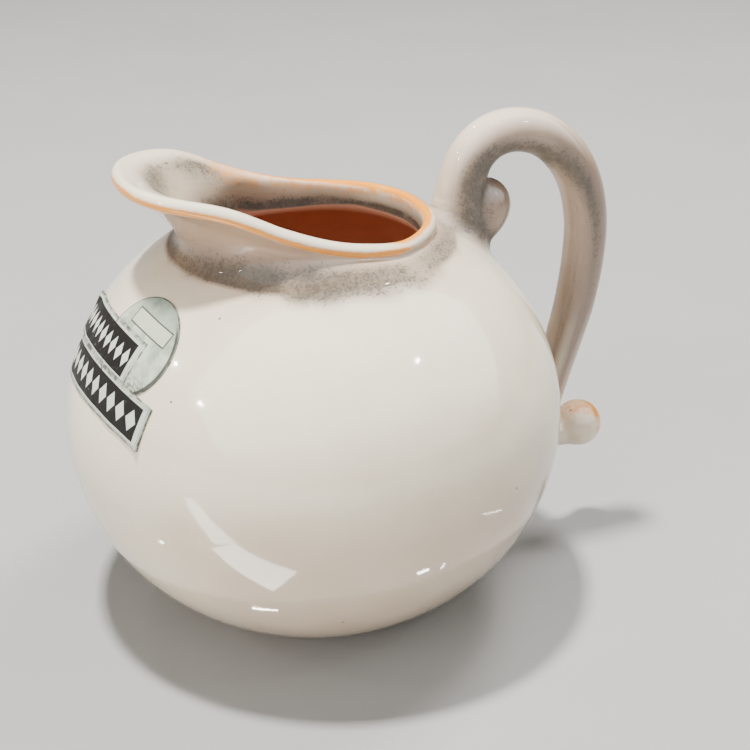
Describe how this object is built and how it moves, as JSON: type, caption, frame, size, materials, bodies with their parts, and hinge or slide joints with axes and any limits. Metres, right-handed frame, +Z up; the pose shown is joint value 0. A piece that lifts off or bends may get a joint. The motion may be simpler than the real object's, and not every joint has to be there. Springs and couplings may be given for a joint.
{
  "type": "cream jug",
  "caption": "Small round glazed earthenware cream jug with a pulled pouring spout, a looped rolled handle with curled ends and a paper label.",
  "frame": {"origin": "centre of the flat foot, on the surface that the jug stands on", "axes": "+Z up along the bowl's axis, +X towards the handle, -X towards the spout; Y = 0 is the mirror plane of the clay body"},
  "size_m": [0.1051, 0.09, 0.0891],
  "materials": {
    "body_glaze": "glossy milky white and pale pink glaze over red earthenware, speckled grey-brown round the neck, orange where it thins on the lip",
    "handle_glaze": "glossy pinkish beige glaze with grey-brown speckle on the underside",
    "label_paper": "silver-grey printed paper with two black bands"
  },
  "bodies": {
    "root": {"jug_body": "body_glaze", "handle": "handle_glaze", "upper_curl": "handle_glaze", "lower_knob": "handle_glaze", "upper_slip_joint": "handle_glaze", "lower_slip_joint": "handle_glaze", "paper_label": "label_paper"}
  },
  "joints": []
}
